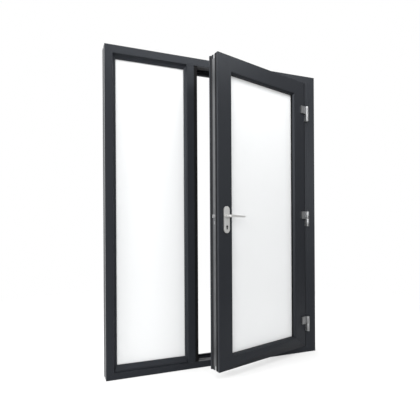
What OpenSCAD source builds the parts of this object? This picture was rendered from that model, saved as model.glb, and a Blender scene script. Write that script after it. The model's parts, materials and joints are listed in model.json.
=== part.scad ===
// Casement window: aluminium frame with a fixed light on the left and a side-hung leaf on the right.
// Millimetres. +Z is up, +X is to the right, and the hinge side of the window faces -Y.
// The origin is the centre of the sill's underside.

/* [Overall] */
// Width over the frame
frame_w = 1570; // [1300:10:1900]
// Height over the frame
frame_h = 2100; // [1700:10:2500]
// Angle at which the leaf stands open
open_angle = 17.35; // [0:0.05:80]

/* [Frame] */
// Depth of the frame
frame_d = 106; // [106:1:150]
// Face width of the jambs
jamb_face = 50; // [40:1:70]
// Face width of the head
head_face = 50; // [40:1:70]
// Face height of the sill
sill_face = 43; // [36:1:70]
// Face width of the mullion
mullion_face = 50; // [40:1:80]
// Width of the dark step beside the mullion face
step_w = 23; // [16:1:40]
// Face width of the hinge post beside the right jamb
post_face = 37; // [30:1:60]
// Wall thickness of every aluminium profile
wall = 2.5; // [2:0.1:4]
// Height of the stop leg behind the leaf and the glass
leg_h = 26; // [20:1:34]
// Height of the low stop leg on the sill
sill_leg_h = 15; // [12:1:20]

/* [Leaf] */
// Width of the opening leaf
leaf_w = 861; // [700:1:1000]
// Depth of the leaf
leaf_d = 88; // [88:1:100]
// Gap between the leaf and the frame
gap = 5; // [4:0.5:6]
// Face width of the leaf's stiles
stile_face = 111; // [100:1:140]
// Face height of the leaf's top rail
top_rail_face = 100; // [80:1:140]
// Face height of the leaf's bottom rail
bottom_rail_face = 79; // [70:1:160]

/* [Glazing] */
// Thickness of one pane
pane_t = 6; // [4:0.5:8]
// Thickness of the sealed glass unit
unit_t = 28; // [24:1:28]
// Height of the fixed light's bead at the jamb
bead_jamb = 20; // [16:1:30]
// Height of the fixed light's bead at the mullion
bead_mullion = 17; // [16:1:30]
// Height of the fixed light's bead at the head
bead_head = 28; // [16:1:40]
// Height of the fixed light's bead at the sill
bead_sill = 42; // [20:1:60]
// Height of the leaf's beads
bead_leaf = 11; // [9:1:20]

/* [Handle and lock] */
// Height of the lever's spindle above the sill's underside
spindle_h = 1023; // [900:1:1150]
// Distance from spindle to cylinder
cylinder_drop = 66; // [62:1:92]
// Distance from the leaf's edge to the spindle
backset = 63; // [55:1:75]
// Length of the handle plates
plate_h = 169; // [160:1:220]
// Width of the handle plates
plate_w = 46; // [36:1:50]
// Reach of the lever
lever_len = 116; // [90:1:140]
// How far the dead bolt and the shoot bolts move
bolt_throw = 20; // [10:1:20]
// How far the latch stands out
latch_throw = 12; // [8:1:12]

/* [Hinges] */
// Diameter of the hinge barrels
barrel_d = 24; // [20:1:28]
// Height of one hinge
barrel_h = 112; // [90:1:130]
// Height of the lowest hinge's middle
hinge_low = 219; // [180:1:400]
// Height of the middle hinge's middle
hinge_mid = 1014; // [800:1:1300]
// Distance from the frame's top to the top hinge's middle
hinge_top_drop = 290; // [220:1:400]
// Radius of the hinge pins
pin_r = 5; // [4:0.5:6]

/* [Fixings] */
// Radius of the fixing holes in the jambs
fix_r = 5.25; // [4:0.25:7]
// Height of the lower fixing hole
fix_low = 400; // [150:10:600]

/* [Hidden] */
$fn = 48;
eps = 0.01;
mitre_gap = 0.05;

// Depths, measured from the front face towards the back
front_shell_d = 56;
bar_d = 20;
rear_shell_y = front_shell_d + bar_d;
leg_y = leaf_d + 4;
glass_y = 30;
gasket_t = 4;
bead_y = 2;
bead_d = glass_y - gasket_t - bead_y;
leaf_bead_y1 = 18;
step_y = 6;
seal_t = 3.5;

// Leaf outline in the closed position, from the frame's lower left corner
head_gap = gap - 1;
leaf_x1 = frame_w - jamb_face - post_face - gap;
leaf_x0 = leaf_x1 - leaf_w;
leaf_z0 = sill_face + gap;
leaf_z1 = frame_h - head_face - head_gap;
step_x = leaf_x0 - gap;
mullion_x1 = step_x - step_w;
mullion_x0 = mullion_x1 - mullion_face;
post_x = leaf_x1 + gap;

// Leaf depths
lip_d = 15;
seal_groove_d = 13;
body_y = lip_d + seal_groove_d;
leaf_front_d = 60;
leaf_rear_y = leaf_front_d + 16;
body_in = 2;
groove_in = 5;
hardware_y = 36;
hardware_w = 16;
hardware_in = 14;
glass_step = 8;

// Hinge axis
barrel_r = barrel_d / 2;
axis_x = leaf_x1 + gap + 11;
axis_y = -(barrel_r + 2);
hinge_zs = [hinge_low, hinge_mid, frame_h - hinge_top_drop];

// Lock places
handle_x = leaf_x0 + backset;
cylinder_z = spindle_h - cylinder_drop;
plate_z1 = spindle_h + 62;
plate_z0 = plate_z1 - plate_h;
lock_y = hardware_y + hardware_w / 2;
case_y0 = hardware_y + 0.5;
case_d = hardware_w - 1;
case_wall = 1.5;
case_x0 = leaf_x0 + 5;
case_x1 = handle_x + 24;
case_z0 = cylinder_z - 60;
case_z1 = spindle_h + 60;
bolt_t = 10;
bolt_h = 20;
dead_z = cylinder_z + 24;
face_t = 2.5;
face_w = 22;
slip = 0.15;
neck_r = 9;
run = 0.05;
square_w = 8;
cyl_r = 7.5;
blade_w = 8;
cyl_h = 25;
plug_r = 5;
slot_w = 9;

// Places a shape that is drawn from the frame's lower left front corner
module place() {
    translate([-frame_w / 2, -frame_d / 2, 0]) children();
}

// Places a shape that belongs to the leaf, drawn as closed and then swung open
module on_leaf() {
    place() translate([axis_x, axis_y, 0]) rotate([0, 0, open_angle]) translate([-axis_x, -axis_y, 0])
        children();
}

// A box from one corner to the other
module block(low, high) {
    translate(low) cube([high.x - low.x, high.y - low.y, high.z - low.z]);
}

// Carries a profile, drawn as (across, depth), along one side of the rectangle r = [x0, x1, z0, z1]
module along(side, r) {
    if (side == "left") translate([r[0], 0, r[2]]) linear_extrude(r[3] - r[2]) children();
    if (side == "right") translate([r[1], 0, r[2]]) mirror([1, 0, 0])
        linear_extrude(r[3] - r[2]) children();
    if (side == "bottom") translate([r[1], 0, r[2]]) rotate([0, -90, 0])
        linear_extrude(r[1] - r[0]) children();
    if (side == "top") translate([r[1], 0, r[3]]) mirror([0, 0, 1]) rotate([0, -90, 0])
        linear_extrude(r[1] - r[0]) children();
}

// Corner points of the piece of a mitred ring on one side; w = widths [left, right, bottom, top].
// Each piece is held back by mitre_gap at both ends, so that neighbours don't run into each other.
function ring_points(side, r, w) =
    let (n = inset(r, w), g = mitre_gap)
    side == "left" ? [[r[0], r[2] + g], [n[0], n[2] + g], [n[0], n[3] - g], [r[0], r[3] - g]]
    : side == "right" ? [[r[1], r[2] + g], [r[1], r[3] - g], [n[1], n[3] - g], [n[1], n[2] + g]]
    : side == "bottom" ? [[r[0] + g, r[2]], [r[1] - g, r[2]], [n[1] - g, n[2]], [n[0] + g, n[2]]]
    : [[r[0] + g, r[3]], [n[0] + g, n[3]], [n[1] - g, n[3]], [r[1] - g, r[3]]];

// A straight-sided prism through the whole depth, cut to the mitres of one side
module mitre_block(side, r, w) {
    translate([0, frame_d + 40, 0]) rotate([90, 0, 0]) linear_extrude(frame_d + 80)
        polygon(ring_points(side, r, w));
}

// One mitred side of a ring
module mitred(side, r, w) {
    intersection() {
        mitre_block(side, r, w);
        along(side, r) children();
    }
}

// A rectangle in a profile, from depth y0 to y1 and across from a to b
module patch(a, b, y0, y1) {
    translate([a, y0]) square([b - a, y1 - y0]);
}

// A hollow rectangular tube in a profile
module tube2d(a, b, y0, y1) {
    difference() {
        patch(a, b, y0, y1);
        patch(a + wall, b - wall, y0 + wall, y1 - wall);
    }
}

// A rectangle drawn in by the widths w, and four equal widths
function inset(r, w) = [r[0] + w[0], r[1] - w[1], r[2] + w[2], r[3] - w[3]];
function same(v) = [v, v, v, v];

// ---------------------------------------------------------------- frame

frame_r = [0, frame_w, 0, frame_h];
frame_faces = [jamb_face, jamb_face, sill_face, head_face];

// Fixing holes through a jamb, along X
module fixing_holes(x0, x1) {
    for (z = [fix_low, frame_h - fix_low])
        translate([x0, front_shell_d / 2 + 12, z]) rotate([0, 90, 0]) cylinder(h = x1 - x0, r = fix_r);
}

// The opening in a wall that a bolt of the lock enters
module bolt_window(z, h, x0, x1) {
    block([x0, lock_y - bolt_t / 2 - 1.5, z - h / 2 - 1.5], [x1, lock_y + bolt_t / 2 + 1.5, z + h / 2 + 1.5]);
}

// The opening in the head and the sill that a shoot bolt enters
module shoot_window(z0, z1) {
    block([leaf_x0 + 3.5, hardware_y - 1, z0],
        [leaf_x0 + hardware_in + 1, hardware_y + hardware_w + 1, z1]);
}

module head_front_profile() {
    color([0.24, 0.25, 0.27]) place() difference() {
        mitred("top", frame_r, frame_faces) tube2d(0, head_face, 0, front_shell_d);
        shoot_window(frame_h - head_face - 1, frame_h - head_face + wall + 1);
    }
}

module sill_front_profile() {
    color([0.22, 0.23, 0.25]) place() difference() {
        mitred("bottom", frame_r, frame_faces) tube2d(0, sill_face, 0, front_shell_d);
        shoot_window(sill_face - wall - 1, sill_face + 1);
    }
}

module left_jamb_front_profile() {
    color([0.24, 0.25, 0.27]) place() difference() {
        mitred("left", frame_r, frame_faces) tube2d(0, jamb_face, 0, front_shell_d);
        fixing_holes(-1, jamb_face + 1);
    }
}

module right_jamb_front_profile() {
    color([0.24, 0.25, 0.27]) place() difference() {
        mitred("right", frame_r, frame_faces) tube2d(0, jamb_face, 0, front_shell_d);
        fixing_holes(frame_w - jamb_face - 1, frame_w + 1);
    }
}

// A shallow V groove down the post's face
module face_groove(x) {
    translate([x, 0, sill_face]) rotate([0, 0, 45]) translate([-0.7, -0.7, 0])
        cube([1.4, 1.4, frame_h - sill_face - head_face]);
}

module hinge_post_profile() {
    x1 = frame_w - jamb_face;
    color([0.24, 0.25, 0.27]) place() difference() {
        upright() tube2d(post_x, x1, 0, front_shell_d);
        face_groove(post_x + post_face * 0.45);
        fixing_holes(post_x - 1, x1 + 1);
        hinge_rebate_screws(0.05);
    }
}

module mullion_front_profile() {
    color([0.2, 0.21, 0.23]) place() difference() {
        upright() difference() {
            union() {
                patch(mullion_x0, mullion_x1, 0, front_shell_d);
                patch(mullion_x1 - eps, step_x, step_y, front_shell_d);
            }
            patch(mullion_x0 + wall, mullion_x1 - wall, wall, front_shell_d - wall);
            patch(mullion_x1, step_x - wall, step_y + wall, front_shell_d - wall);
            patch(mullion_x1 - wall - eps, mullion_x1 + eps, step_y + 3 * wall, front_shell_d - 2 * wall);
        }
        bolt_window(spindle_h, bolt_h, mullion_x1 - wall - 1, step_x + 1);
        bolt_window(dead_z, bolt_h, mullion_x1 - wall - 1, step_x + 1);
        strike_screws(0.05);
    }
}

// The rear shell of one frame side, as a mitred box
module rear_box(side, face) {
    mitred(side, frame_r, frame_faces) tube2d(0, face, rear_shell_y, frame_d);
}

module head_rear_profile() {
    color([0.24, 0.25, 0.27]) place() union() {
        rear_box("top", head_face);
        block([jamb_face, leg_y, frame_h - head_face - leg_h],
            [frame_w - jamb_face, frame_d, frame_h - head_face]);
    }
}

module sill_rear_profile() {
    color([0.22, 0.23, 0.25]) place() union() {
        rear_box("bottom", sill_face);
        block([jamb_face, leg_y, sill_face], [frame_w - jamb_face, frame_d, sill_face + sill_leg_h]);
    }
}

// Upright legs run between the legs of the sill and the head
leg_z0 = sill_face + sill_leg_h;
leg_z1 = frame_h - head_face - leg_h;
jamb_leg_h = leg_h - 10;
mullion_leg_h = leg_h - 12;

// Carries a profile up between the sill and the head
module upright() {
    translate([0, 0, sill_face]) linear_extrude(frame_h - sill_face - head_face) children();
}

// Carries a profile up between the legs of the sill and the head
module upright_leg() {
    translate([0, 0, leg_z0]) linear_extrude(leg_z1 - leg_z0) children();
}

module left_jamb_rear_profile() {
    color([0.24, 0.25, 0.27]) place() union() {
        rear_box("left", jamb_face);
        upright_leg() patch(jamb_face - eps, jamb_face + jamb_leg_h, leg_y, frame_d);
    }
}

module right_jamb_rear_profile() {
    x1 = frame_w - jamb_face;
    color([0.24, 0.25, 0.27]) place() union() {
        rear_box("right", jamb_face);
        difference() {
            union() {
                upright() patch(post_x, x1 + eps, rear_shell_y, leg_y);
                upright_leg() {
                    patch(post_x, x1 + eps, leg_y - eps, frame_d);
                    patch(leaf_x1 - leg_h + gap, post_x + eps, leg_y, frame_d);
                }
            }
            upright() patch(post_x + wall, x1 - wall, rear_shell_y + wall, frame_d - wall);
        }
    }
}

module mullion_rear_profile() {
    color([0.2, 0.21, 0.23]) place() difference() {
        union() {
            upright() patch(mullion_x0, step_x, rear_shell_y, leg_y);
            upright_leg() {
                patch(mullion_x0, step_x, leg_y - eps, frame_d);
                patch(mullion_x0 - mullion_leg_h, leaf_x0 + leg_h - gap, leg_y, frame_d);
            }
        }
        upright() patch(mullion_x0 + wall, step_x - wall, rear_shell_y + wall, frame_d - wall);
    }
}

// A pair of insulating bars in a profile of the given width
module bars2d(a, b, y0, y1) {
    patch(a + 5, a + 9, y0, y1);
    patch(b - 9, b - 5, y0, y1);
}

module frame_thermal_bars() {
    color([0.05, 0.05, 0.055]) place() {
        for (s = [["left", jamb_face], ["right", jamb_face], ["bottom", sill_face], ["top", head_face]])
            mitred(s[0], frame_r, frame_faces) bars2d(0, s[1], front_shell_d, rear_shell_y);
        upright() {
            bars2d(mullion_x0, step_x, front_shell_d, rear_shell_y);
            bars2d(post_x, frame_w - jamb_face, front_shell_d, rear_shell_y);
        }
    }
}

frame_cleat_arm = 110;
leaf_cleat_arm = 120;
cleat_slack = 10;

// An L-shaped corner block inside the hollow profiles; sx and sz point into the frame
module cleat(x, z, sx, sz, wide, high, y0, y1, arm) {
    translate([x, 0, z]) mirror([sx < 0 ? 1 : 0, 0, 0]) mirror([0, 0, sz < 0 ? 1 : 0]) union() {
        block([wall, y0, wall], [wide - wall - cleat_slack, y1, arm]);
        block([wall, y0, wall], [arm, y1, high - wall - cleat_slack]);
    }
}

module frame_corner_cleats() {
    color([0.6, 0.61, 0.62]) place() {
        for (x = [0, frame_w]) for (z = [0, frame_h])
            cleat(x, z, x == 0 ? 1 : -1, z == 0 ? 1 : -1,
                jamb_face, z == 0 ? sill_face : head_face,
                wall, front_shell_d - wall, frame_cleat_arm);
    }
}

bracket_h = 70;

// Blocks inside the mullion, screwed to the head and the sill
module mullion_brackets() {
    x0 = mullion_x0 + wall;
    x1 = mullion_x1 - wall;
    color([0.6, 0.61, 0.62]) place() for (z = [sill_face, frame_h - head_face - bracket_h])
        block([x0, wall, z], [x1, front_shell_d - wall, z + bracket_h]);
}

module mullion_step_seal() {
    color([0.04, 0.04, 0.045]) place()
        block([mullion_x1, step_y - seal_t, sill_face], [step_x, step_y, frame_h - head_face]);
}

// The seal on the stop leg that the closed leaf rests against
module rebate_seal() {
    r = inset([leaf_x0, leaf_x1, leaf_z0, leaf_z1], [4, 4, 3, 4]);
    tip = leaf_d + 0.4;
    color([0.04, 0.04, 0.045]) place() for (side = ["left", "right", "bottom", "top"])
        mitred(side, r, same(6)) polygon([[0, leg_y], [6, leg_y], [4.5, tip], [1.5, tip]]);
}

// ---------------------------------------------------------------- glazing

// Rectangles: the rebate, the glass edge and the sight line
fixed_r = [jamb_face, mullion_x0, sill_face, frame_h - head_face];
fixed_b = [bead_jamb, bead_mullion, bead_sill, bead_head];
leaf_r = [leaf_x0, leaf_x1, leaf_z0, leaf_z1];
leaf_faces = [stile_face, stile_face, bottom_rail_face, top_rail_face];

glass_inset = 5;
spacer_w = 9;
fixed_glass_r = inset(fixed_r, same(glass_inset));
leaf_sight_r = inset(leaf_r, leaf_faces);
leaf_glass_r = inset(leaf_sight_r, same(-3));

module pane(r, y) {
    block([r[0], y, r[2]], [r[1], y + pane_t, r[3]]);
}

// The hollow bar that keeps the two panes apart
module spacer(r, y0, y1) {
    for (side = ["left", "right", "bottom", "top"])
        mitred(side, r, same(spacer_w)) patch(0, spacer_w, y0, y1);
}

module rear_pane(r) {
    pane(r, glass_y + unit_t - pane_t);
}

module fixed_front_pane() {
    color([0.93, 0.95, 0.96]) place() pane(fixed_glass_r, glass_y);
}

module fixed_rear_pane() {
    color([0.93, 0.95, 0.96]) place() rear_pane(fixed_glass_r);
}

module fixed_spacer() {
    color([0.1, 0.1, 0.1]) place() spacer(fixed_glass_r, glass_y + pane_t, glass_y + unit_t - pane_t);
}

// A bead with a steep wall beside the profile's face and a flatter slope down to the glass
module bead2d(b) {
    y1 = bead_y + bead_d;
    polygon([[0, bead_y], [b * 0.3, bead_y + 14], [b, bead_y + 20], [b, y1], [0, y1]]);
}

// The sill's bead: a ledge, a short riser and a slope that sheds water
module sill_bead2d(b) {
    ledge = 8;
    polygon([[0, ledge], [b / 3, ledge], [b, bead_y + 20], [b, bead_y + bead_d], [0, bead_y + bead_d]]);
}

// The leaf's bead, which leaves a deep black gasket to be seen in front of the glass
module leaf_bead2d(b) {
    polygon([[0, bead_y], [1, bead_y], [b, leaf_bead_y1 - 4], [b, leaf_bead_y1], [0, leaf_bead_y1]]);
}

module fixed_beads() {
    sides = [["left", bead_jamb], ["right", bead_mullion], ["top", bead_head]];
    color([0.24, 0.25, 0.27]) place() {
        for (s = sides) mitred(s[0], fixed_r, fixed_b) bead2d(s[1]);
        mitred("bottom", fixed_r, fixed_b) sill_bead2d(bead_sill);
    }
}

// A rectangular ring of rubber between a bead or flange and the glass
module gasket(r, w, y0, y1) {
    for (side = ["left", "right", "bottom", "top"])
        mitred(side, r, same(w)) patch(0, w, y0, y1);
}

fixed_gasket_r = inset(fixed_r, [for (b = fixed_b) b - 10]);

module fixed_front_gasket() {
    color([0.04, 0.04, 0.045]) place() gasket(fixed_gasket_r, 9, glass_y - gasket_t, glass_y);
}

module fixed_rear_gasket() {
    color([0.04, 0.04, 0.045]) place() gasket(fixed_gasket_r, 9, glass_y + unit_t, glass_y + unit_t + gasket_t);
}

// Profiles that carry the glass from behind, between the gasket and the stop leg
module fixed_rear_adapters() {
    y0 = glass_y + unit_t + gasket_t;
    names = ["left", "right", "bottom", "top"];
    color([0.24, 0.25, 0.27]) place() for (i = [0:3])
        mitred(names[i], fixed_r, fixed_b) tube2d(0, fixed_b[i], y0, leg_y);
}

packer_inset = 90;
packer_l = 100;

// Packers that the glass stands on
module setting_blocks(r, z0, z1) {
    for (x = [r[0] + packer_inset, r[1] - packer_inset - packer_l])
        block([x, glass_y + 1, z0], [x + packer_l, glass_y + unit_t - 1, z1]);
}

module fixed_setting_blocks() {
    color([0.1, 0.12, 0.3]) place() setting_blocks(fixed_glass_r, fixed_r[2], fixed_glass_r[2]);
}

// ---------------------------------------------------------------- frame hardware

strike_h = 150;
strike_z0 = dead_z - 40;
strike_zs = [strike_z0 + 12, strike_z0 + strike_h - 12];

// A countersunk screw along -X; grow widens it to make its own hole
module screw_x(x, y, z, r, head_r, head_t, len, grow = 0) {
    translate([x, y, z]) rotate([0, -90, 0]) union() {
        cylinder(h = len, r = r + grow);
        cylinder(h = head_t, r = head_r + grow);
    }
}

module strike_screws(grow) {
    for (z = strike_zs) screw_x(step_x + face_t, lock_y, z, 2, 4, 1.5, 14, grow);
}

module strike_plate() {
    color([0.7, 0.71, 0.72]) place() {
        difference() {
            block([step_x, hardware_y - 2, strike_z0],
                [step_x + face_t, hardware_y + hardware_w + 2, strike_z0 + strike_h]);
            bolt_window(spindle_h, bolt_h, step_x - 1, step_x + face_t + 1);
            bolt_window(dead_z, bolt_h, step_x - 1, step_x + face_t + 1);
            strike_screws(0.05);
        }
        strike_screws(0);
    }
}

module shoot_bolt_keeps() {
    keep_t = 1.5;
    zs = [[frame_h - head_face - keep_t, frame_h - head_face], [sill_face, sill_face + keep_t]];
    color([0.7, 0.71, 0.72]) place() for (z = zs) difference() {
        block([leaf_x0, hardware_y - 6, z[0]], [leaf_x0 + 60, hardware_y + hardware_w + 3.5, z[1]]);
        shoot_window(z[0] - 1, z[1] + 1);
    }
}

// ---------------------------------------------------------------- hinges

half_gap = 0.5;
flag_h = barrel_h / 2 - half_gap;
flag_w = 50;
flag_t = 10;
rebate_t = 2.5;
rebate_w = 44;

// Screws that hold the hinge plates in the rebate of the hinge post
module hinge_rebate_screws(grow) {
    for (zc = hinge_zs) for (dz = [-44, -14]) for (y = [18, 36])
        translate([post_x - rebate_t, y, zc + dz]) rotate([0, 90, 0]) union() {
            cylinder(h = 16, r = 2 + grow);
            cylinder(h = 1.5, r = 3.8 + grow);
        }
}

module hinge_frame_plates() {
    color([0.72, 0.73, 0.74]) place() {
        for (zc = hinge_zs) difference() {
            union() {
                translate([axis_x, axis_y, zc - barrel_h / 2]) cylinder(h = flag_h, r = barrel_r);
                block([post_x - rebate_t, -9, zc - barrel_h / 2 + 1], [axis_x + 5, 0, zc - 2]);
                block([post_x - rebate_t, -9, zc - barrel_h / 2 + 1], [post_x, rebate_w, zc - 2]);
            }
            translate([axis_x, axis_y, zc - barrel_h / 2 + 4]) cylinder(h = barrel_h, r = pin_r + 0.01);
            hinge_rebate_screws(0.05);
        }
        hinge_rebate_screws(0);
    }
}

module hinge_pins() {
    color([0.75, 0.76, 0.77]) place() for (zc = hinge_zs)
        translate([axis_x, axis_y, zc - barrel_h / 2 + 4]) cylinder(h = barrel_h - 9, r = pin_r);
}

module hinge_washers() {
    color([0.85, 0.85, 0.8]) place() for (zc = hinge_zs) difference() {
        translate([axis_x, axis_y, zc - half_gap]) cylinder(h = 2 * half_gap - 0.1, r = barrel_r - 1);
        translate([axis_x, axis_y, zc - 5]) cylinder(h = 10, r = pin_r);
    }
}

module hinge_flags() {
    color([0.75, 0.76, 0.77]) on_leaf() {
        for (zc = hinge_zs) difference() {
            union() {
                translate([axis_x, axis_y, zc + half_gap]) cylinder(h = flag_h, r = barrel_r);
                block([leaf_x1 - flag_w + gap, -flag_t, zc + half_gap + 0.5],
                    [leaf_x1 + gap - 1, 0, zc + half_gap + flag_h]);
                block([leaf_x1, -flag_t + 1, zc + half_gap + 4],
                    [axis_x, -2.5, zc + half_gap + flag_h - 4]);
            }
            translate([axis_x, axis_y, zc]) cylinder(h = barrel_h / 2 - 4, r = pin_r + run);
            flag_screws(0.05);
        }
        flag_screws(0);
    }
}

// Screws through the flags into the leaf's hinge stile
module flag_screws(grow) {
    for (zc = hinge_zs) for (dz = [14, 44]) for (dx = [9, 30])
        translate([leaf_x1 - dx, -flag_t, zc + dz]) rotate([-90, 0, 0]) union() {
            cylinder(h = flag_t + 10, r = 2.2 + grow);
            cylinder(h = 3, r = 4.2 + grow);
        }
}

// ---------------------------------------------------------------- leaf

// The front shell of a leaf side of face width w
module leaf_front2d(w) {
    difference() {
        polygon([
            [0, 0], [w, 0], [w, glass_y - gasket_t], [w - glass_step, glass_y - gasket_t],
            [w - glass_step, leaf_front_d], [body_in, leaf_front_d], [body_in, body_y],
            [groove_in, body_y], [groove_in, lip_d], [0, lip_d]
        ]);
        patch(body_in - 1, hardware_in, hardware_y, hardware_y + hardware_w);
        patch(body_in - 1, body_in + face_t, lock_y - face_w / 2, lock_y + face_w / 2);
        patch(hardware_in + wall, w - glass_step - wall, wall, leaf_front_d - wall);
        patch(w - glass_step - wall - eps, w - wall, wall, glass_y - gasket_t - wall);
    }
}

// The rear shell, with the flange that holds the glass from behind
module leaf_rear2d(w) {
    y0 = glass_y + unit_t + gasket_t;
    difference() {
        union() {
            patch(body_in, w + bead_leaf, leaf_rear_y, leaf_d);
            patch(w - 6, w + bead_leaf, y0, leaf_rear_y + eps);
        }
        patch(body_in + wall, w - 6 + wall, leaf_rear_y + wall, leaf_d - wall);
        patch(w - 6 + wall, w + bead_leaf - wall, y0 + wall, leaf_d - wall);
    }
}

module leaf_front(side, w) {
    mitred(side, leaf_r, leaf_faces) leaf_front2d(w);
}

module leaf_rear(side, w) {
    mitred(side, leaf_r, [for (f = leaf_faces) f + bead_leaf]) leaf_rear2d(w);
}

module leaf_top_rail() {
    color([0.24, 0.25, 0.27]) on_leaf() leaf_front("top", top_rail_face);
}

module leaf_bottom_rail() {
    color([0.22, 0.23, 0.25]) on_leaf() leaf_front("bottom", bottom_rail_face);
}

// Everything that the lock and the handle need cut out of the lock stile
module lock_cuts() {
    block([leaf_x0, case_y0, case_z0], [case_x1 + 0.3, case_y0 + case_d, case_z1]);
    translate([handle_x, -1, spindle_h]) rotate([-90, 0, 0]) cylinder(h = leaf_d + 2, r = 11);
    translate([handle_x, -1, cylinder_z]) rotate([-90, 0, 0]) linear_extrude(leaf_d + 2) cylinder_outline(0.1);
}

module leaf_lock_stile() {
    color([0.24, 0.25, 0.27]) on_leaf() difference() {
        leaf_front("left", stile_face);
        lock_cuts();
        plate_screws(0.05);
        face_screws_at(0.05);
    }
}

module leaf_hinge_stile() {
    color([0.24, 0.25, 0.27]) on_leaf() difference() {
        leaf_front("right", stile_face);
        flag_screws(0.05);
    }
}

module leaf_rear_rails() {
    color([0.22, 0.23, 0.25]) on_leaf() {
        leaf_rear("top", top_rail_face);
        leaf_rear("bottom", bottom_rail_face);
    }
}

module leaf_rear_stiles() {
    color([0.24, 0.25, 0.27]) on_leaf() {
        difference() {
            leaf_rear("left", stile_face);
            lock_cuts();
            plate_screws(0.05);
        }
        leaf_rear("right", stile_face);
    }
}

module leaf_thermal_bars() {
    names = ["left", "right", "bottom", "top"];
    color([0.05, 0.05, 0.055]) on_leaf() for (i = [0:3])
        mitred(names[i], leaf_r, leaf_faces) {
            patch(5, 9, leaf_front_d, leaf_rear_y);
            patch(leaf_faces[i] - 20, leaf_faces[i] - 16, leaf_front_d, leaf_rear_y);
        }
}

module leaf_corner_cleats() {
    inner = hardware_in;
    color([0.6, 0.61, 0.62]) on_leaf()
        for (x = [leaf_x0, leaf_x1]) for (z = [leaf_z0, leaf_z1])
            cleat(x + (x == leaf_x0 ? inner : -inner), z + (z == leaf_z0 ? inner : -inner),
                x == leaf_x0 ? 1 : -1, z == leaf_z0 ? 1 : -1,
                stile_face - glass_step - inner,
                (z == leaf_z0 ? bottom_rail_face : top_rail_face) - glass_step - inner,
                wall, leaf_front_d - wall, leaf_cleat_arm);
}

module leaf_lip_seal() {
    color([0.04, 0.04, 0.045]) on_leaf() for (side = ["left", "right", "bottom", "top"])
        mitred(side, leaf_r, leaf_faces) patch(1.5, groove_in, lip_d, body_y);
}

module leaf_front_pane() {
    color([0.93, 0.95, 0.96]) on_leaf() pane(leaf_glass_r, glass_y);
}

module leaf_rear_pane() {
    color([0.93, 0.95, 0.96]) on_leaf() rear_pane(leaf_glass_r);
}

module leaf_spacer() {
    color([0.1, 0.1, 0.1]) on_leaf() spacer(leaf_glass_r, glass_y + pane_t, glass_y + unit_t - pane_t);
}

module leaf_beads() {
    color([0.24, 0.25, 0.27]) on_leaf() for (side = ["left", "right", "bottom", "top"])
        mitred(side, leaf_sight_r, same(bead_leaf)) leaf_bead2d(bead_leaf);
}

leaf_gasket_r = inset(leaf_sight_r, same(1));

module leaf_front_gasket() {
    color([0.04, 0.04, 0.045]) on_leaf()
        gasket(leaf_gasket_r, bead_leaf - 1, leaf_bead_y1, glass_y);
}

module leaf_rear_gasket() {
    y0 = glass_y + unit_t;
    color([0.04, 0.04, 0.045]) on_leaf() gasket(leaf_gasket_r, bead_leaf - 2, y0, y0 + gasket_t);
}

module leaf_setting_blocks() {
    color([0.1, 0.12, 0.3]) on_leaf()
        setting_blocks(leaf_glass_r, leaf_sight_r[2] - glass_step, leaf_glass_r[2]);
}

// ---------------------------------------------------------------- lock

// The lock cylinder's outline: a round top over a narrower blade
module cylinder_outline(grow) {
    union() {
        circle(r = cyl_r + grow);
        translate([-blade_w / 2 - grow, 0]) square([blade_w + 2 * grow, cyl_h - cyl_r + grow]);
    }
}

// The inside of the lock case, between the two large walls
case_in_y0 = case_y0 + case_wall;
case_in_y1 = case_y0 + case_d - case_wall;

module case_bores() {
    translate([handle_x, 0, spindle_h]) rotate([-90, 0, 0]) cylinder(h = leaf_d, r = 7 + run);
    translate([handle_x, 0, cylinder_z]) rotate([-90, 0, 0]) linear_extrude(leaf_d) cylinder_outline(0.1);
}

module lock_case() {
    color([0.55, 0.56, 0.57]) on_leaf() difference() {
        block([case_x0, case_y0, case_z0 + 0.1], [case_x1, case_in_y1, case_z1 - 0.1]);
        block([case_x0 + case_wall, case_in_y0, case_z0 + 0.1 + case_wall],
            [case_x1 - case_wall, case_in_y1 + 1, case_z1 - 0.1 - case_wall]);
        bolt_hole(spindle_h);
        bolt_hole(dead_z);
        case_bores();
        plate_screws(0.05);
    }
}

module lock_case_cover() {
    color([0.55, 0.56, 0.57]) on_leaf() difference() {
        block([case_x0, case_in_y1, case_z0 + 0.1], [case_x1, case_y0 + case_d, case_z1 - 0.1]);
        case_bores();
        plate_screws(0.05);
    }
}

// The hole that a bolt slides through, in the faceplate and the case
module bolt_hole(z) {
    block([leaf_x0 - 1, lock_y - bolt_t / 2 - slip, z - bolt_h / 2 - slip],
        [case_x0 + case_wall + 1, lock_y + bolt_t / 2 + slip, z + bolt_h / 2 + slip]);
}

face_z0 = leaf_z0 + 30;
face_z1 = leaf_z1 - 30;
face_screw_zs = [face_z0 + 15, face_z0 + 420, case_z0 - 20, case_z1 + 20, face_z1 - 420, face_z1 - 15];

module face_screws_at(grow) {
    for (z = face_screw_zs)
        translate([leaf_x0 + body_in, hardware_y - 1.4, z]) rotate([0, 90, 0])
            cylinder(h = 12, r = 1.3 + grow);
}

module lock_faceplate() {
    color([0.62, 0.63, 0.64]) on_leaf() difference() {
        block([leaf_x0 + body_in, lock_y - face_w / 2, face_z0],
            [leaf_x0 + body_in + face_t, lock_y + face_w / 2, face_z1]);
        bolt_hole(spindle_h);
        bolt_hole(dead_z);
        face_screws_at(0.05);
    }
}

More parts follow.
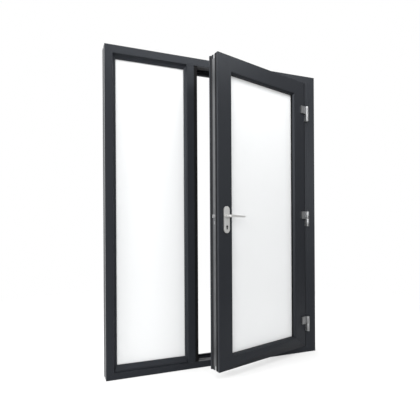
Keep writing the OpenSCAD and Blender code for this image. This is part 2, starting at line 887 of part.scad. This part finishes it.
module latch_bolt() {
    z0 = spindle_h - bolt_h / 2;
    z1 = spindle_h + bolt_h / 2;
    x0 = leaf_x0 + body_in - latch_throw;
    y0 = lock_y - bolt_t / 2;
    color([0.75, 0.76, 0.77]) on_leaf() union() {
        translate([0, 0, z0]) linear_extrude(bolt_h) polygon([
            [x0, y0 + bolt_t], [x0, y0 + bolt_t - 2], [x0 + latch_throw, y0], [x0 + latch_throw + 6, y0],
            [x0 + latch_throw + 6, y0 + bolt_t]
        ]);
        block([x0 + latch_throw + 6 - eps, y0 + 1, z0 + 5],
            [handle_x - 12 - latch_throw, y0 + bolt_t - 1, z1 - 5]);
    }
}

dead_bolt_l = 42;

module dead_bolt() {
    x0 = leaf_x0 + body_in;
    color([0.75, 0.76, 0.77]) on_leaf()
        block([x0, lock_y - bolt_t / 2, dead_z - bolt_h / 2],
            [x0 + dead_bolt_l, lock_y + bolt_t / 2, dead_z + bolt_h / 2]);
}

module shoot_rod(z0, z1) {
    block([leaf_x0 + body_in + face_t + 0.3, hardware_y + 0.3, z0],
        [leaf_x0 + hardware_in - 0.3, hardware_y + hardware_w - 0.3, z1]);
}

module upper_shoot_bolt() {
    color([0.7, 0.71, 0.72]) on_leaf() shoot_rod(case_z1 + 0.3, leaf_z1 - 3);
}

module lower_shoot_bolt() {
    color([0.7, 0.71, 0.72]) on_leaf() shoot_rod(leaf_z0 + 3, case_z0 - 0.3);
}

plate_t = 8;
cylinder_y0 = -plate_t - 2;
cylinder_y1 = leaf_d + plate_t + 2;

module cylinder_body() {
    color([0.3, 0.3, 0.31]) on_leaf() difference() {
        translate([handle_x, cylinder_y0, cylinder_z]) rotate([-90, 0, 0])
            linear_extrude(cylinder_y1 - cylinder_y0) cylinder_outline(0);
        translate([handle_x, cylinder_y0 - 1, cylinder_z]) rotate([-90, 0, 0])
            cylinder(h = cylinder_y1 - cylinder_y0 + 2, r = plug_r + run);
        block([handle_x - 12, lock_y - slot_w / 2, cylinder_z - 13],
            [handle_x + 12, lock_y + slot_w / 2, cylinder_z + 12]);
    }
}

module cylinder_plug() {
    color([0.12, 0.12, 0.12]) on_leaf() difference() {
        union() {
            translate([handle_x, cylinder_y0, cylinder_z]) rotate([-90, 0, 0])
                cylinder(h = cylinder_y1 - cylinder_y0, r = plug_r);
            translate([handle_x, lock_y - slot_w / 2 + 0.3, cylinder_z]) rotate([-90, 0, 0])
                linear_extrude(slot_w - 0.6) union() {
                    circle(r = 7);
                    translate([-2.5, 0]) square([5, 11.5]);
                }
        }
        for (y = [cylinder_y0 - 1, cylinder_y1 - 21])
            block([handle_x - 0.6, y, cylinder_z - 3.5], [handle_x + 0.6, y + 22, cylinder_z + 3.5]);
    }
}

module lock_follower() {
    color([0.7, 0.71, 0.72]) on_leaf() difference() {
        translate([handle_x, 0, spindle_h]) rotate([-90, 0, 0]) union() {
            translate([0, 0, case_y0]) cylinder(h = case_d, r = 7);
            translate([0, 0, case_in_y0 + 0.3]) cylinder(h = case_in_y1 - case_in_y0 - 0.6, r = 10);
        }
        block([handle_x - square_w / 2, 0, spindle_h - square_w / 2],
            [handle_x + square_w / 2, leaf_d, spindle_h + square_w / 2]);
    }
}

// Screws between the two handle plates
module plate_screws(grow) {
    for (z = [plate_z0 + 11, plate_z1 - 11])
        translate([handle_x, -plate_t, z]) rotate([-90, 0, 0]) union() {
            cylinder(h = leaf_d + 2 * plate_t, r = 2.4 + grow);
            cylinder(h = 2.4, r = 4.4 + grow);
        }
}

// One handle plate between depths y0 and y1
module handle_plate(y0, y1) {
    r = plate_w / 2;
    difference() {
        union() {
            for (z = [plate_z0 + r, plate_z1 - r])
                translate([handle_x, y0, z]) rotate([-90, 0, 0]) cylinder(h = y1 - y0, r = r);
            block([handle_x - r, y0, plate_z0 + r], [handle_x + r, y1, plate_z1 - r]);
        }
        translate([handle_x, y0 - 1, spindle_h]) rotate([-90, 0, 0])
            cylinder(h = y1 - y0 + 2, r = neck_r + run);
        translate([handle_x, y0 - 1, cylinder_z]) rotate([-90, 0, 0])
            linear_extrude(y1 - y0 + 2) cylinder_outline(0.2);
        plate_screws(0.05);
    }
}

module handle_plates() {
    color([0.82, 0.83, 0.83]) on_leaf() {
        handle_plate(-plate_t, 0);
        handle_plate(leaf_d, leaf_d + plate_t);
        plate_screws(0);
    }
}

lever_out = 55;
lever_t = 14;
lever_root_h = 15;
lever_tip_r = 5;
lever_droop = 3;
lever_tip_x = lever_len - lever_tip_r;

// A lever drawn with its plate's face at depth 0 and its bar standing out towards -Y
module lever() {
    union() {
        translate([0, -plate_t, 0]) rotate([-90, 0, 0]) cylinder(h = plate_t - 1, r = neck_r);
        translate([0, -lever_out, 0]) rotate([-90, 0, 0]) cylinder(h = lever_out - plate_t + eps, r = neck_r);
        translate([0, -lever_out + lever_t, 0]) rotate([90, 0, 0]) linear_extrude(lever_t) union() {
            polygon([
                [0, -lever_root_h / 2], [lever_tip_x, -lever_droop - lever_tip_r],
                [lever_tip_x, -lever_droop + lever_tip_r], [0, lever_root_h / 2]
            ]);
            translate([lever_tip_x, -lever_droop]) circle(r = lever_tip_r);
        }
    }
}

module spindle(y0, y1) {
    block([handle_x - square_w / 2 + 0.02, y0, spindle_h - square_w / 2 + 0.02],
        [handle_x + square_w / 2 - 0.02, y1, spindle_h + square_w / 2 - 0.02]);
}

module handle_front_lever() {
    color([0.85, 0.86, 0.86]) on_leaf() union() {
        translate([handle_x, 0, spindle_h]) lever();
        spindle(-1 - eps, leaf_d - 5);
    }
}

module handle_rear_lever() {
    color([0.85, 0.86, 0.86]) on_leaf() difference() {
        translate([handle_x, leaf_d, spindle_h]) mirror([0, 1, 0]) union() {
            lever();
            translate([0, -1 - eps, 0]) rotate([-90, 0, 0]) cylinder(h = 12, r = neck_r - 0.5);
        }
        block([handle_x - square_w / 2, 0, spindle_h - square_w / 2],
            [handle_x + square_w / 2, leaf_d - 4.9, spindle_h + square_w / 2]);
    }
}

module faceplate_screws() {
    color([0.8, 0.8, 0.8]) on_leaf() face_screws_at(0);
}

head_front_profile();
sill_front_profile();
left_jamb_front_profile();
right_jamb_front_profile();
hinge_post_profile();
mullion_front_profile();
head_rear_profile();
sill_rear_profile();
left_jamb_rear_profile();
right_jamb_rear_profile();
mullion_rear_profile();
frame_thermal_bars();
frame_corner_cleats();
mullion_brackets();
mullion_step_seal();
rebate_seal();
fixed_front_pane();
fixed_rear_pane();
fixed_spacer();
fixed_beads();
fixed_front_gasket();
fixed_rear_gasket();
fixed_rear_adapters();
fixed_setting_blocks();
strike_plate();
shoot_bolt_keeps();
hinge_frame_plates();
hinge_pins();
hinge_washers();
leaf_top_rail();
leaf_bottom_rail();
leaf_lock_stile();
leaf_hinge_stile();
leaf_rear_rails();
leaf_rear_stiles();
leaf_thermal_bars();
leaf_corner_cleats();
leaf_lip_seal();
leaf_front_pane();
leaf_rear_pane();
leaf_spacer();
leaf_beads();
leaf_front_gasket();
leaf_rear_gasket();
leaf_setting_blocks();
lock_case();
lock_case_cover();
lock_faceplate();
faceplate_screws();
latch_bolt();
dead_bolt();
upper_shoot_bolt();
lower_shoot_bolt();
cylinder_body();
cylinder_plug();
handle_plates();
handle_front_lever();
handle_rear_lever();
lock_follower();
hinge_flags();
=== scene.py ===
"""Looks for a casement window: coated aluminium profiles, glass units, a silver handle and silver hinges.

Lengths are in metres. +Z is up, +X is to the right and the hinge side faces -Y.
"""

import json
import math

import bpy
from mathutils import Matrix, Vector

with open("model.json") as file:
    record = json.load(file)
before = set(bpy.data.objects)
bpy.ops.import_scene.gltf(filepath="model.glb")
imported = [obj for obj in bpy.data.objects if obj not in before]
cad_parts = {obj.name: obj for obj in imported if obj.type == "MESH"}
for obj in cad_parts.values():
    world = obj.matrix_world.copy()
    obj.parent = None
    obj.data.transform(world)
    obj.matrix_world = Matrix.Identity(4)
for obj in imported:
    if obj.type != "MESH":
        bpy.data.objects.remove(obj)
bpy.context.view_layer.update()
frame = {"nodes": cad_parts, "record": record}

# ---------------------------------------------------------------- camera, floor and light

SENSOR = 36.0
CAMERA_AT = Vector((-1.0884, -2.5393, 0.9463))
CAMERA_YAW = math.radians(21.98)
CAMERA_ROLL = 0.0056
LENS = 33.43
SHIFT_Y = 0.0437

# The light around the object, which the camera itself doesn't see: its level, and where it is brighter
SURROUND_LEVEL = 1.05
SURROUND_TOWARDS = (-0.6, 0.65, 0.5)

# Where each softbox hangs, where it aims, its width and height, and its watts
SOFTBOXES = {
    "front_softbox": ((-2.7, -4.3, 2.3), (0, 0, 1.1), (3.0, 2.0), 104),
    "right_softbox": ((3.4, -4.9, 2.0), (0.3, -0.3, 1.0), (2.6, 2.2), 76),
    "left_softbox": ((-4.5, -0.6, 1.9), (0, -0.1, 1.2), (1.4, 2.6), 130),
    "top_softbox": ((0.3, -0.95, 2.75), (0.3, -0.1, 2.05), (2.2, 0.3), 16),
}

# The floor is a square that fades out between two distances from the object
FLOOR_HALF = 6
FLOOR_OPACITY = 0.45
FADE_START = 1.3
FADE_END = 4.0


def add_camera():
    """A level camera to the left of the window, which looks to the right."""
    ahead = Vector((math.sin(CAMERA_YAW), math.cos(CAMERA_YAW), 0))
    right = Vector((math.cos(CAMERA_YAW), -math.sin(CAMERA_YAW), 0))
    up = Vector((0, 0, 1))
    side = right * math.cos(CAMERA_ROLL) - up * math.sin(CAMERA_ROLL)
    top = up * math.cos(CAMERA_ROLL) + right * math.sin(CAMERA_ROLL)
    camera = bpy.data.objects.new("camera", bpy.data.cameras.new("camera"))
    camera.matrix_world = Matrix.Translation(CAMERA_AT) @ Matrix((side, top, -ahead)).transposed().to_4x4()
    camera.data.sensor_width = SENSOR
    camera.data.lens = LENS
    camera.data.shift_y = SHIFT_Y
    bpy.context.collection.objects.link(camera)
    bpy.context.scene.camera = camera


def add_softbox(name, place, aim, size, watts):
    light = bpy.data.lights.new(name, "AREA")
    light.shape = "RECTANGLE"
    light.size, light.size_y = size
    light.energy = watts
    lamp = bpy.data.objects.new(name, light)
    lamp.location = place
    lamp.rotation_euler = (Vector(aim) - Vector(place)).to_track_quat("-Z", "Y").to_euler()
    bpy.context.collection.objects.link(lamp)


def add_world():
    """A white backdrop. Around the object the surround is brighter along one direction."""
    world = bpy.data.worlds.new("studio")
    world.use_nodes = True
    nodes, links = world.node_tree.nodes, world.node_tree.links
    backdrop = nodes["Background"]
    backdrop.inputs["Color"].default_value = (1, 1, 1, 1)
    surround = nodes.new("ShaderNodeBackground")
    direction = nodes.new("ShaderNodeTexCoord")
    along = nodes.new("ShaderNodeVectorMath")
    along.operation = "DOT_PRODUCT"
    along.inputs[1].default_value = SURROUND_TOWARDS
    strength = nodes.new("ShaderNodeMath")
    strength.operation = "ADD"
    strength.inputs[1].default_value = SURROUND_LEVEL
    seen = nodes.new("ShaderNodeLightPath")
    mix = nodes.new("ShaderNodeMixShader")
    links.new(direction.outputs["Generated"], along.inputs[0])
    links.new(along.outputs["Value"], strength.inputs[0])
    links.new(strength.outputs["Value"], surround.inputs["Strength"])
    links.new(seen.outputs["Is Camera Ray"], mix.inputs["Fac"])
    links.new(surround.outputs["Background"], mix.inputs[1])
    links.new(backdrop.outputs["Background"], mix.inputs[2])
    links.new(mix.outputs["Shader"], nodes["World Output"].inputs["Surface"])
    bpy.context.scene.world = world
    bpy.context.scene.view_settings.view_transform = "Standard"


# ---------------------------------------------------------------- materials

# How a grain is stretched: into streaks along Z, or not at all
ALONG_Z = (1, 1, 0.02)
EVEN = (1, 1, 1)

# The part of a noise's range that vary_roughness() stretches over its two numbers
NOISE_LOW = 0.3
NOISE_HIGH = 0.7


class Shader:
    """A node material with one Principled shader, and short ways to add to it."""

    def __init__(self, name, colour, roughness, metallic=0.0, alpha=1.0, specular=0.5):
        self.material = bpy.data.materials.new(name)
        self.material.use_nodes = True
        self.tree = self.material.node_tree
        self.principled = self.tree.nodes["Principled BSDF"]
        self.set("Base Color", (*colour, 1))
        self.set("Roughness", roughness)
        self.set("Metallic", metallic)
        self.set("Alpha", alpha)
        self.set("Specular IOR Level", specular)

    def set(self, socket, value):
        self.principled.inputs[socket].default_value = value

    def node(self, kind, **settings):
        node = self.tree.nodes.new(kind)
        for setting, value in settings.items():
            setattr(node, setting, value)
        return node

    def map_range(self, value, numbers, **settings):
        """Maps a value from numbers' first two to its last two."""
        spread = self.node("ShaderNodeMapRange", **settings)
        for socket, number in zip(("From Min", "From Max", "To Min", "To Max"), numbers):
            spread.inputs[socket].default_value = number
        self.link(value, spread.inputs["Value"])
        return spread.outputs["Result"]

    def link(self, source, target):
        self.tree.links.new(source, target)

    def place(self, scale=EVEN):
        """Object coordinates, stretched by scale."""
        coordinates = self.node("ShaderNodeTexCoord")
        mapping = self.node("ShaderNodeMapping")
        mapping.inputs["Scale"].default_value = scale
        self.link(coordinates.outputs["Object"], mapping.inputs["Vector"])
        return mapping.outputs["Vector"]

    def noise(self, scale, detail=2.0, stretch=EVEN):
        texture = self.node("ShaderNodeTexNoise")
        texture.inputs["Scale"].default_value = scale
        texture.inputs["Detail"].default_value = detail
        self.link(self.place(stretch), texture.inputs["Vector"])
        return texture.outputs["Fac"]

    def vary_colour(self, value, dark, light):
        mix = self.node("ShaderNodeMix", data_type="RGBA")
        mix.inputs["A"].default_value = (*dark, 1)
        mix.inputs["B"].default_value = (*light, 1)
        self.link(value, mix.inputs["Factor"])
        self.link(mix.outputs[2], self.principled.inputs["Base Color"])

    def vary_roughness(self, value, low, high):
        spread = self.map_range(value, (NOISE_LOW, NOISE_HIGH, low, high))
        self.link(spread, self.principled.inputs["Roughness"])

    def bump(self, value, height, strength=0.3):
        bump = self.node("ShaderNodeBump")
        bump.inputs["Strength"].default_value = strength
        bump.inputs["Distance"].default_value = height
        self.link(value, bump.inputs["Height"])
        self.link(bump.outputs["Normal"], self.principled.inputs["Normal"])


def scaled(colour, by):
    return tuple(channel * by for channel in colour)


def powder_coat():
    """Fine-texture anthracite coating: tiny grains, and a slow change in shade along a profile."""
    grey = (0.0148, 0.0162, 0.0198)
    shader = Shader("powder_coat", grey, roughness=0.42, specular=0.25)
    shader.set("Specular Tint", (0.88, 0.94, 1.0, 1))
    shader.vary_colour(shader.noise(scale=6, detail=3), dark=scaled(grey, 0.94), light=scaled(grey, 1.06))
    grain = shader.noise(scale=1400)
    shader.vary_roughness(grain, low=0.36, high=0.48)
    shader.bump(grain, height=0.00012)
    return shader.material


def epdm():
    shader = Shader("epdm_rubber", (0.004, 0.004, 0.0045), roughness=0.8, specular=0.15)
    fine = shader.noise(scale=700)
    shader.vary_roughness(fine, low=0.68, high=0.85)
    shader.bump(fine, height=0.0001)
    return shader.material


def polyamide():
    shader = Shader("black_polyamide", (0.008, 0.008, 0.009), roughness=0.6, specular=0.25)
    streaks = shader.noise(scale=500, stretch=ALONG_Z)
    shader.vary_roughness(streaks, low=0.5, high=0.7)
    shader.bump(streaks, height=0.0001)
    return shader.material


def packer_plastic():
    shader = Shader("packer_plastic", (0.03, 0.05, 0.2), roughness=0.45)
    shader.bump(shader.noise(scale=300), height=0.0001, strength=0.2)
    return shader.material


def washer_plastic():
    shader = Shader("washer_plastic", (0.7, 0.7, 0.66), roughness=0.4)
    shader.bump(shader.noise(scale=500), height=0.0001, strength=0.2)
    return shader.material


def metal(name, colour, roughness, stretch, metallic=1.0):
    """Metal with a fine directional finish; stretch flattens the grain along its own direction."""
    shader = Shader(name, colour, roughness, metallic)
    lines = shader.noise(scale=900, detail=3, stretch=stretch)
    mottle = shader.noise(scale=30, detail=3)
    shader.vary_colour(mottle, dark=scaled(colour, 0.95), light=scaled(colour, 1.03))
    shader.vary_roughness(lines, low=roughness - 0.06, high=roughness + 0.08)
    shader.bump(lines, height=0.00004)
    return shader.material


def front_glass():
    """The front pane, with painted light: a pale diffuse colour stands in for the white surroundings that
    show in the clear glass.
    """
    # Painted light: the near-white base colour stands in for the bright surroundings seen in the glass
    shader = Shader("front_glass", (0.94, 0.95, 0.955), roughness=0.03, alpha=0.7, specular=0.25)
    shader.vary_roughness(shader.noise(scale=3), low=0.02, high=0.05)
    shader.material.surface_render_method = "BLENDED"
    return shader.material


def rear_glass_painted_backdrop():
    """The rear pane, with painted light: a pale half-opaque diffuse sheet stands in for the bright
    backdrop seen through the clear glass, so that with the front pane before it little shows through.
    """
    # Painted light: the pale base colour stands in for the white backdrop behind the clear glass; only its
    # faint tone change is random
    shader = Shader("rear_glass_painted_backdrop", (0.93, 0.935, 0.94), roughness=0.08, alpha=0.6)
    shader.vary_colour(shader.noise(scale=1.2), dark=(0.92, 0.925, 0.93), light=(0.94, 0.945, 0.95))
    shader.material.surface_render_method = "BLENDED"
    return shader.material


# ---------------------------------------------------------------- carried-over CAD nodes

MATERIALS = {
    "grey_coating": powder_coat(),
    "polyamide": polyamide(),
    "rubber_seal": epdm(),
    "spacer_bar": polyamide(),
    "packer_plastic": packer_plastic(),
    "mill_aluminium": metal("mill_aluminium", (0.6, 0.61, 0.62), 0.4, ALONG_Z),
    "handle_silver": metal("handle_silver", (0.56, 0.56, 0.548), 0.36, (1, 1, 0.1), metallic=0.6),
    "hinge_silver": metal("hinge_silver", (0.34, 0.345, 0.35), 0.38, ALONG_Z),
    "cylinder_dark": metal("cylinder_dark", (0.06, 0.06, 0.06), 0.35, EVEN),
    "lock_case_zinc": metal("lock_case_zinc", (0.5, 0.51, 0.52), 0.4, EVEN),
    "washer_plastic": washer_plastic(),
    "lock_steel": metal("lock_steel", (0.3, 0.305, 0.31), 0.3, ALONG_Z),
    "faceplate_grey": metal("faceplate_grey", (0.15, 0.152, 0.156), 0.35, ALONG_Z),
}
# Both panes carry painted light: pale colours stand in for the white surroundings seen in clear glass
FRONT_GLASS, REAR_GLASS = front_glass(), rear_glass_painted_backdrop()
NODE_MATERIALS = {
    "fixed_front_pane": FRONT_GLASS,
    "leaf_front_pane": FRONT_GLASS,
    "fixed_rear_pane": REAR_GLASS,
    "leaf_rear_pane": REAR_GLASS,
    "shoot_bolt_keeps": metal("black_zinc", (0.05, 0.05, 0.052), 0.5, ALONG_Z),
}

# Widths of the rounded edges, by material slot; a slot that isn't listed has the other width
OTHER_WIDTH = 0.0003
EDGE_WIDTH = {
    "grey_coating": 0.0006,
    "handle_silver": 0.0018,
    "hinge_silver": 0.0012,
    "lock_steel": 0.0004,
}
NO_BEVEL = {"glass", "rubber_seal", "mill_aluminium", "packer_plastic", "spacer_bar"}
WELD_DISTANCE = 0.00001
BEVEL_SEGMENTS = 2
BEVEL_ANGLE = math.radians(40)


def round_edges(node, width):
    """Softens the edges of a CAD node without touching its mesh."""
    weld = node.modifiers.new("weld", "WELD")
    weld.merge_threshold = WELD_DISTANCE
    bevel = node.modifiers.new("bevel", "BEVEL")
    bevel.width = width
    bevel.segments = BEVEL_SEGMENTS
    bevel.limit_method = "ANGLE"
    bevel.angle_limit = BEVEL_ANGLE
    bevel.use_clamp_overlap = True


def dress_cad_nodes():
    slots = {part["node"]: part["material_slot"] for part in frame["record"]["subparts"]}
    for name, node in frame["nodes"].items():
        slot = slots[name]
        material = NODE_MATERIALS.get(name) or MATERIALS[slot]
        if not node.material_slots:
            node.data.materials.append(material)
        for holder in node.material_slots:
            holder.material = material
        if slot not in NO_BEVEL:
            round_edges(node, EDGE_WIDTH.get(slot, OTHER_WIDTH))


# ---------------------------------------------------------------- floor


def add_floor():
    """A pale floor that fades into the backdrop away from the object."""
    mesh = bpy.data.meshes.new("floor")
    corners = [(x * FLOOR_HALF, y * FLOOR_HALF, 0) for x, y in ((-1, -1), (1, -1), (1, 1), (-1, 1))]
    mesh.from_pydata(corners, [], [(0, 1, 2, 3)])
    floor = bpy.data.objects.new("floor", mesh)
    bpy.context.collection.objects.link(floor)
    shader = Shader("floor", (0.97, 0.97, 0.97), roughness=0.9)
    shader.bump(shader.noise(scale=40), height=0.0005, strength=0.05)
    distance = shader.node("ShaderNodeVectorMath", operation="LENGTH")
    shader.link(shader.place(), distance.inputs[0])
    fade = (FADE_START, FADE_END, FLOOR_OPACITY, 0)
    opacity = shader.map_range(distance.outputs["Value"], fade, interpolation_type="SMOOTHSTEP")
    shader.link(opacity, shader.principled.inputs["Alpha"])
    mesh.materials.append(shader.material)


add_camera()
add_world()
for name, softbox in SOFTBOXES.items():
    add_softbox(name, *softbox)
add_floor()
dress_cad_nodes()
